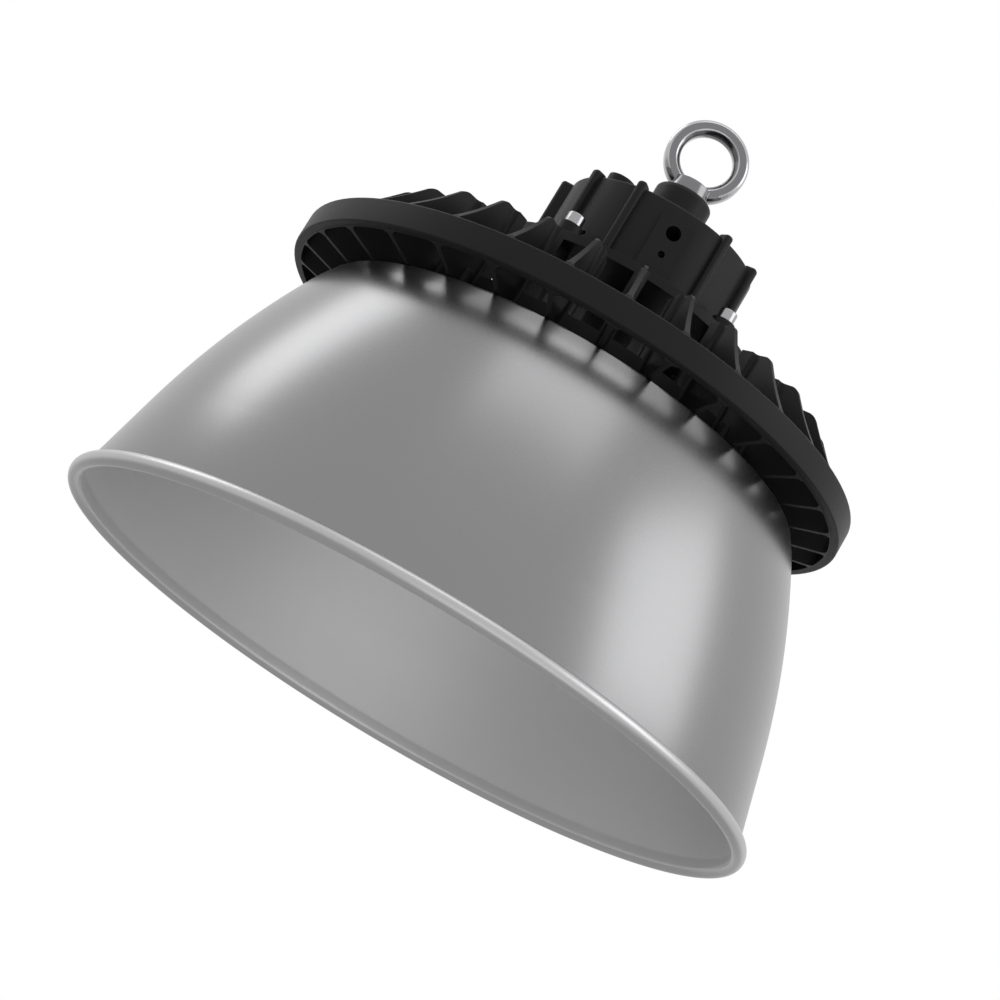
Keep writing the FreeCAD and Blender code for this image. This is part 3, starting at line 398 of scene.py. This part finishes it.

# %% [markdown]
# ### Spun and anodised aluminium
# The shade is spun from sheet, blasted and clear anodised. That leaves a grey satin with a wide, soft gloss
# outside. The inside is rougher, and its much lighter colour is painted light that brightens the inside of the
# shade. The bead is also given a lighter colour, painted light over the dark reflection along it. The blasting
# grain is about 0.2 mm, too fine to show, so it is drawn three times as coarse.

# %% Satin aluminium of the shade
SHADE_METAL = finish(
    "satin anodised spun aluminium", "#858586", 0.27, 0.31, grain_mm=0.6, depth_mm=0.002, metallic=1.0
)
# The inside's lighter colour is painted light that brightens the inside of the shade.
SHADE_INSIDE_PAINTED_LIGHT = finish(
    "matt blasted inside of the shade", "#CFCFD0", 0.52, 0.58, grain_mm=0.6, depth_mm=0.006, metallic=1.0
)
# The bead's lighter colour is painted light over the dark reflection along it.
SHADE_BEAD_PAINTED_LIGHT = finish(
    "burnished bead of the shade", "#B0B0B1", 0.34, 0.4, grain_mm=0.6, depth_mm=0.003, metallic=1.0
)
print(SHADE_METAL.name, SHADE_INSIDE_PAINTED_LIGHT.name, SHADE_BEAD_PAINTED_LIGHT.name)

# %% [markdown]
# ### Black powder coat on die-cast aluminium
# Powder coat melts into a skin 60 to 80 microns thick, so it rounds every edge of the casting and sets with
# a faint orange peel about 1 mm across. Satin black reflects very little, hence the low specular level.

# %% Black powder coat
CASTING_PAINT = finish(
    "satin black powder coat",
    "#1A1A1B",
    0.42,
    0.5,
    grain_mm=1.0,
    depth_mm=0.006,
    edge_mm=0.45,
    Specular_IOR_Level=0.14,
)
print(CASTING_PAINT.name)

# %% [markdown]
# ### Steel
# The eye bolt is forged, tumbled and bright zinc plated, so it is smooth but not a mirror. Its edges get a
# lighter copy of the same zinc, a painted highlight, while its faces keep the darker one. The clear chromate
# over the zinc is a thin coat. The screws are turned and plated the same way. Inner plates are plain
# zinc-coated sheet.

# %% Steel finishes
EYE_STEEL = finish(
    "bright zinc plate on forged steel",
    "#717173",
    0.16,
    0.24,
    grain_mm=2.5,
    depth_mm=0.02,
    metallic=1.0,
    edge_mm=0.7,
    Coat_Weight=0.6,
    Coat_Roughness=0.1,
)
# A lighter copy of the eye's zinc: a painted highlight for its edges.
EYE_PAINTED_HIGHLIGHT = finish(
    "zinc plate burnished by tumbling", "#B2B2B4", 0.2, 0.26, grain_mm=2.5, metallic=1.0, edge_mm=0.7
)
SCREW_STEEL = finish(
    "bright zinc plate on turned steel", "#9C9C9E", 0.18, 0.24, grain_mm=1.2, depth_mm=0.004, metallic=1.0
)
SHEET_STEEL = finish("zinc-coated sheet steel", "#6E7073", 0.34, 0.42, grain_mm=3.0, metallic=1.0)
print(EYE_STEEL.name, EYE_PAINTED_HIGHLIGHT.name, SCREW_STEEL.name, SHEET_STEEL.name)

# %% [markdown]
# ### Optics and the light source
# The cover is clear moulded polycarbonate. The lamp's board is aluminium under a white solder resist, and
# each emitter is a white package with a yellow phosphor window.

# %% Cover, board and emitters
COVER_PLASTIC = finish(
    "clear moulded polycarbonate",
    "#F2F4F4",
    0.06,
    0.1,
    grain_mm=4.0,
    depth_mm=0.003,
    IOR=1.58,
    Transmission_Weight=0.92,
)
BOARD_RESIST = finish("white solder resist", "#E6E6E2", 0.4, 0.48, grain_mm=0.8, depth_mm=0.004)
PACKAGE = finish("white emitter package", "#ECECE8", 0.38, 0.46, grain_mm=0.4)
PHOSPHOR = finish("yellow phosphor in silicone", "#E0C24A", 0.22, 0.3, grain_mm=0.2, Coat_Weight=0.3)
print(COVER_PLASTIC.name, BOARD_RESIST.name, PACKAGE.name, PHOSPHOR.name)

# %% [markdown]
# ### Inside the driver's case
# Nothing of this shows while the case is shut. It is finished as such parts are, for a reader who opens it:
# green board, dark ferrite, yellow tape, sleeved capacitors, dipped film, nylon and black epoxy.

# %% Inner finishes
SILICONE = finish("grey silicone rubber", "#3A3B3C", 0.55, 0.65, grain_mm=1.5)
BOARD_GREEN = finish("green glass-fibre board", "#1F5A34", 0.35, 0.42, grain_mm=1.2)
FERRITE = finish("sintered ferrite", "#2B2A29", 0.6, 0.7, grain_mm=0.4, depth_mm=0.02)
TAPE = finish("yellow polyester tape", "#D9B93B", 0.3, 0.38, grain_mm=2.0)
SLEEVE = finish("dark blue capacitor sleeve", "#27375C", 0.28, 0.34, grain_mm=2.0)
FILM = finish("brick red dipped film", "#8E2B1E", 0.34, 0.42, grain_mm=1.5)
NYLON = finish("natural nylon", "#DEDCD2", 0.42, 0.5, grain_mm=1.0)
EPOXY = finish("black moulded epoxy", "#1A1A1B", 0.45, 0.52, grain_mm=0.3)
WIRE_COAT = finish("red PVC insulation", "#8C1A17", 0.36, 0.44, grain_mm=1.5)
SPREADER = finish("mill-finish aluminium", "#B8B8B9", 0.34, 0.44, grain_mm=1.5, metallic=1.0)
print("inner finishes ready")

# %% [markdown]
# ### A finish for every node
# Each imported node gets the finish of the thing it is. A name that is missing here stops the script, so no
# node is forgotten. The nodes that are modelled again further on are covered too.

# %% Finishes by node
FINISHES = {
    "reflector": SHADE_METAL, "heat_sink": CASTING_PAINT, "driver_housing": CASTING_PAINT,
    "driver_base_plate": CASTING_PAINT, "driver_gasket": SILICONE, "driver_screws": SCREW_STEEL,
    "eye_bolt": EYE_STEEL, "eye_nut": SCREW_STEEL, "eye_washer": SCREW_STEEL, "led_board": BOARD_RESIST,
    "led_chips": PACKAGE, "led_connector": NYLON, "lens_cover": COVER_PLASTIC, "lens_gasket": SILICONE,
    "lens_ring": SHEET_STEEL, "lens_screws": SCREW_STEEL, "led_board_screws": SCREW_STEEL,
    "reflector_screws": SCREW_STEEL, "base_plate_screws": EPOXY, "driver_board": BOARD_GREEN,
    "board_spacers": NYLON, "transformer_core": FERRITE, "transformer_bobbin": TAPE,
    "bulk_capacitors": SLEEVE, "film_capacitor": FILM, "terminal_block": NYLON, "transistor": EPOXY,
    "choke": TAPE, "heat_spreader": SPREADER, "wire_grommet": SILICONE, "led_leads": WIRE_COAT,
}
for name, node in nodes.items():
    node.data.materials.clear()
    node.data.materials.append(FINISHES[name])
print("finished nodes", len(nodes))

# %% [markdown]
# ## The shade
# A spinner clamps a disc of soft aluminium against a wooden former and presses it down with a roller, and
# at the end rolls the rim outwards into a bead. One closed section is drawn here: up the inside, over the
# flange, down the outside and round the bead. The sheet has one thickness, measured square to it, so the two
# leans say how far the inner wall's ends lie from the outer wall's along the radius.

# %% Draw the section of the shade
rim_low, rim_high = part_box("reflector")
RIM = rim_high[0] / MM
SHADE_TOP = rim_high[2] / MM
SHEET = 1.2
LOW_LEAN = 1.025
TOP_LEAN = 0.59
WALL_FOOT = 198.55
FOOT_LOW = 8.2
FOOT_TOP = 10.0
WALL_BEND = (189.3, 49.35)
WALL_CURVE = 458.0
WALL_STEPS = 22
CROWN = 144.3
FLANGE = 119.0
BEAD_HALF_HIGH = 4.35
BEAD_HALF_WIDE = (RIM - WALL_FOOT + SHEET) / 2
BEAD_START = 118.0
BEAD_END = -180.0
BEAD_STEPS = 40
INNER_CORNER = [(-1.6, -0.35), (-2.6, 0.0)]
OUTER_CORNER = [(-3.4, 0.0), (-1.9, -0.3), (-0.7, -1.0), (0.2, -2.0)]
BEAD_GROOVE = [(0.0, FOOT_TOP), (0.0, 8.9), (0.2, 8.1)]


def bulging(low, high, radius):
    """Points on the arc of a radius that bulges outwards, from a low point to just before a high one."""
    run = (high[0] - low[0], high[1] - low[1])
    length = math.hypot(*run)
    back = math.sqrt(radius**2 - length**2 / 4)
    centre = (
        (low[0] + high[0]) / 2 - run[1] / length * back,
        (low[1] + high[1]) / 2 + run[0] / length * back,
    )
    first, last = (math.degrees(math.atan2(y - centre[1], x - centre[0])) for x, y in (low, high))
    return arc(centre, radius, first, last, WALL_STEPS)[:-1]


outer_wall = bulging(WALL_BEND, (CROWN, SHADE_TOP), WALL_CURVE)
inner_bend = (WALL_BEND[0] - SHEET * LOW_LEAN, WALL_BEND[1])
inner_top = (CROWN - SHEET * TOP_LEAN, SHADE_TOP - SHEET)
bead = arc((0, 0), 1, BEAD_START, BEAD_END, BEAD_STEPS)
shade_section = (
    [(WALL_FOOT - SHEET, FOOT_LOW), (WALL_FOOT - SHEET, FOOT_TOP)]
    + bulging(inner_bend, inner_top, WALL_CURVE - SHEET)
    + [(CROWN + x, SHADE_TOP - SHEET + z) for x, z in INNER_CORNER]
    + [(FLANGE, SHADE_TOP - SHEET), (FLANGE, SHADE_TOP)]
    + [(CROWN + x, SHADE_TOP + z) for x, z in OUTER_CORNER]
    + outer_wall[::-1][1:]
    + [(WALL_FOOT + x, z) for x, z in BEAD_GROOVE]
    + [(RIM + BEAD_HALF_WIDE * (x - 1), BEAD_HALF_HIGH * (z + 1)) for x, z in bead]
)
print("section points", len(shade_section))

# %% [markdown]
# 192 steps keep the rim round. The three finishes go on by side: a face that looks towards the axis gets the
# inside's lighter colour, which is painted light, one that looks away is outside, and the low ones that look
# out or down get the bead's lighter colour, also painted light.

# %% Spin the shade
SPIN_STEPS = 192
BEAD_TOP = 8.6
DOWNWARD = -0.3
shade = spin_section(draw_section("spun_shade", shade_section), SPIN_STEPS)
smooth(shade, 40)
settle(shade, SHADE_METAL, "reflector")
shade.data.materials.append(SHADE_INSIDE_PAINTED_LIGHT)
shade.data.materials.append(SHADE_BEAD_PAINTED_LIGHT)
# Inward faces get the lighter inside colour and low bead faces the lighter bead colour, both painted light.
for face in shade.data.polygons:
    radial = Vector((face.center.x, face.center.y, 0.0))
    inward = face.normal.dot(radial) < 0
    if face.center.z < BEAD_TOP * MM and (not inward or face.normal.z < DOWNWARD):
        face.material_index = 2
    elif inward:
        face.material_index = 1

# %% [markdown]
# ## The castings
# The heat sink and the driver's case are pressure die castings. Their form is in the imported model, so each is
# copied and its triangles are merged. Curved walls are then smoothed, while edges over thirty degrees
# stay crisp and get their small radius from the powder coat's soft edge.

# %% Heat sink and driver's case
for node_name, piece_name in (("heat_sink", "finned_casting"), ("driver_housing", "driver_case")):
    casting = merged_copy(node_name, piece_name)
    smooth(casting, 30)
    settle(casting, CASTING_PAINT, node_name)

# %% [markdown]
# ## The eye
# The eye bolt is forged from round bar: a flat ring with chamfered edges, a collar under it and a threaded
# shank. The ring's section is drawn beside the axis and spun round, a bevel of three segments gives it the
# soft edges that forging and tumbling leave, and it is turned upright. The record says where its bore is.

# %% Forge the ring
hang_eye = next(mount for mount in frame["record"]["mounts"] if mount["name"] == "hang_eye")
EYE_CENTRE = hang_eye["pos_m"][2] / MM
EYE_BORE = hang_eye["dims"]["r_mm"]
EYE_OUTER = 23.8
EYE_HALF = 5.2
INNER_CHAMFER = 2.6
OUTER_CHAMFER = 1.7
SOFT_BEVEL = 0.75
RING_STEPS = 128
ring_section = [
    (EYE_BORE, INNER_CHAMFER - EYE_HALF),
    (EYE_BORE, EYE_HALF - INNER_CHAMFER),
    (EYE_BORE + INNER_CHAMFER, EYE_HALF),
    (EYE_OUTER - OUTER_CHAMFER, EYE_HALF),
    (EYE_OUTER, EYE_HALF - OUTER_CHAMFER),
    (EYE_OUTER, OUTER_CHAMFER - EYE_HALF),
    (EYE_OUTER - OUTER_CHAMFER, -EYE_HALF),
    (EYE_BORE + INNER_CHAMFER, -EYE_HALF),
]
eye = spin_section(draw_section("forged_eye", ring_section), RING_STEPS)
use_modifier(
    eye, "BEVEL", width=SOFT_BEVEL * MM, segments=3, limit_method="ANGLE", angle_limit=math.radians(25)
)
choose(eye)
eye.rotation_euler = (math.radians(90), 0, 0)
eye.location = (0, 0, EYE_CENTRE * MM)
bpy.ops.object.transform_apply(location=True, rotation=True, scale=True)
print("eye bore", 2 * EYE_BORE, "mm at", EYE_CENTRE, "mm")

# %% [markdown]
# The collar and the shank are forged in one piece with the ring and then turned, so their section is spun where
# they stand, and the two are joined. The faces that get the painted highlight are then found by their lean: the
# chamfer at the rim, and the narrow bevel between the flat and the bore's chamfer.

# %% Turn the collar and paint a highlight on the edges
SHANK = 6.0
SHANK_TIP = 296.0
COLLAR = 11.35
COLLAR_LOW = 315.35
COLLAR_TOP = 323.2
COLLAR_STEPS = 96
collar_section = [
    (0, SHANK_TIP),
    (SHANK, SHANK_TIP),
    (SHANK, COLLAR_LOW),
    (COLLAR - 0.35, COLLAR_LOW),
    (COLLAR, COLLAR_LOW + 0.35),
    (COLLAR, COLLAR_TOP - 0.9),
    (COLLAR - 0.15, COLLAR_TOP - 0.4),
    (COLLAR - 0.65, COLLAR_TOP - 0.05),
    (0, COLLAR_TOP),
]
collar = spin_section(draw_section("eye_collar", collar_section, closed=False), COLLAR_STEPS)
choose(eye)
collar.select_set(True)
bpy.ops.object.join()
smooth(eye, 38)
settle(eye, EYE_STEEL, "eye_bolt")
eye.data.materials.append(EYE_PAINTED_HIGHLIGHT)
FLAT_END = 20.5
RIM_LEAN = (0.3, 0.96)
BORE_LEAN = (0.78, 0.97)
# Chamfer faces, picked by how far they lean towards the front or back, get the painted highlight.
for face in eye.data.polygons:
    out = math.hypot(face.center.x, face.center.z - EYE_CENTRE * MM) / MM
    low, high = RIM_LEAN if out > FLAT_END else BORE_LEAN
    on_ring = face.center.z > (COLLAR_TOP + 0.2) * MM and out < EYE_OUTER + 0.1
    if on_ring and low < abs(face.normal.y) < high:
        face.material_index = 1

# %% [markdown]
# ## Cap screws
# Four M6 socket cap screws pull the driver down. A heading machine presses the round head and its hexagon
# socket in one stroke, and the thread is rolled. The section of head and shank is spun with its rounded top
# edge, and a six-sided prism is taken out of the head. No two screws stop at the same turn.

# %% Cap screws
HEAD_RADIUS = 5.0
HEAD_ROUND = 0.6
SHANK_RADIUS = 2.95
SHANK_CHAMFER = 0.8
SOCKET_RADIUS = 2.89
SOCKET_DEEP = 3.4
PILLAR_CIRCLE = 68.0
DRIVER_TURN = 4.5
SCREW_TURN = 1.7
SEAT = -6.7
SEAT_CHAMFER = 0.2
SCREW_STEPS = 64
screw_low, screw_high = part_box("driver_screws")
TIP = (screw_low[2] - screw_high[2]) / MM
screw_section = (
    [(0, 0), (HEAD_RADIUS - HEAD_ROUND, 0)]
    + arc((HEAD_RADIUS - HEAD_ROUND, -HEAD_ROUND), HEAD_ROUND, 67.5, 0.0, 3)
    + [(HEAD_RADIUS, SEAT + SEAT_CHAMFER), (HEAD_RADIUS - SEAT_CHAMFER, SEAT), (SHANK_RADIUS, SEAT)]
    + [(SHANK_RADIUS, TIP + SHANK_CHAMFER), (SHANK_RADIUS - SHANK_CHAMFER, TIP), (0, TIP)]
)
screw = spin_section(draw_section("cap_screws", screw_section, closed=False), SCREW_STEPS)
bpy.ops.object.select_all(action="DESELECT")
bpy.ops.mesh.primitive_cylinder_add(vertices=6, radius=SOCKET_RADIUS * MM, depth=2 * SOCKET_DEEP * MM)
key = bpy.context.object
use_modifier(screw, "BOOLEAN", operation="DIFFERENCE", object=key, solver="EXACT")
choose(key)
bpy.ops.object.delete()
turns = [math.radians(DRIVER_TURN + 45 + 90 * step) for step in range(4)]
screws = separate_copies(
    screw, [(around(PILLAR_CIRCLE, turn, screw_high[2]), turn * SCREW_TURN) for turn in turns]
)
smooth(screws, 35)
settle(screws, SCREW_STEEL, "driver_screws")

# %% [markdown]
# ## The emitters
# Each of the 36 emitters is a white ceramic package with a window of yellow phosphor gel, which turns blue
# light into white. A flat box has its lower face inset twice, once for the rim and once for the slope of
# the gel, which sits a little deeper. The innermost face gets the gel's finish.

# %% Model one emitter
PACKAGE_SIDE = 5.0
PACKAGE_HIGH = 1.0
PACKAGE_RIM = 0.5
GEL_SLOPE = 0.15
GEL_DEEP = 0.2
bpy.ops.object.select_all(action="DESELECT")
bpy.ops.mesh.primitive_cube_add(size=1.0, scale=(PACKAGE_SIDE * MM, PACKAGE_SIDE * MM, PACKAGE_HIGH * MM))
emitter = bpy.context.object
emitter.name = "emitters"
bpy.ops.object.transform_apply(scale=True)
emitter.data.materials.append(PACKAGE)
emitter.data.materials.append(PHOSPHOR)
bpy.ops.object.mode_set(mode="EDIT")
bpy.ops.mesh.select_mode(type="FACE")
shell = bmesh.from_edit_mesh(emitter.data)
for face in shell.faces:
    face.select_set(face.normal.z < -0.5)
bmesh.update_edit_mesh(emitter.data)
bpy.ops.mesh.inset(thickness=PACKAGE_RIM * MM)
bpy.ops.mesh.inset(thickness=GEL_SLOPE * MM)
bpy.ops.transform.translate(value=(0, 0, GEL_DEEP * MM))
emitter.active_material_index = 1
bpy.ops.object.material_slot_assign()
bpy.ops.object.mode_set(mode="OBJECT")
print("emitter faces", len(emitter.data.polygons))

# %% [markdown]
# The emitters stand in three rings of six, twelve and eighteen, so that each lights about the same area of
# the cover. Joining keeps the number of each face's finish, but settling the piece clears it, so the numbers
# are kept and set again.

# %% Set the emitters in their rings
RING_STEP = 30.0
chips_low, chips_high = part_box("led_chips")
chip_middle = (chips_low[2] + chips_high[2]) / 2
places = []
for ring in range(1, 4):
    count = 6 * ring
    turns = [math.radians((360 * step + 180) / count) for step in range(count)]
    places += [(around(RING_STEP * ring, turn, chip_middle), 0.0) for turn in turns]
emitters = separate_copies(emitter, places)
finish_numbers = [face.material_index for face in emitters.data.polygons]
settle(emitters, PACKAGE, "led_chips")
emitters.data.materials.append(PHOSPHOR)
for face, number in zip(emitters.data.polygons, finish_numbers):
    face.material_index = number

# %% [markdown]
# ## Sizes
# The dressed model has to fill the same space as the imported one.

print("end of the script")
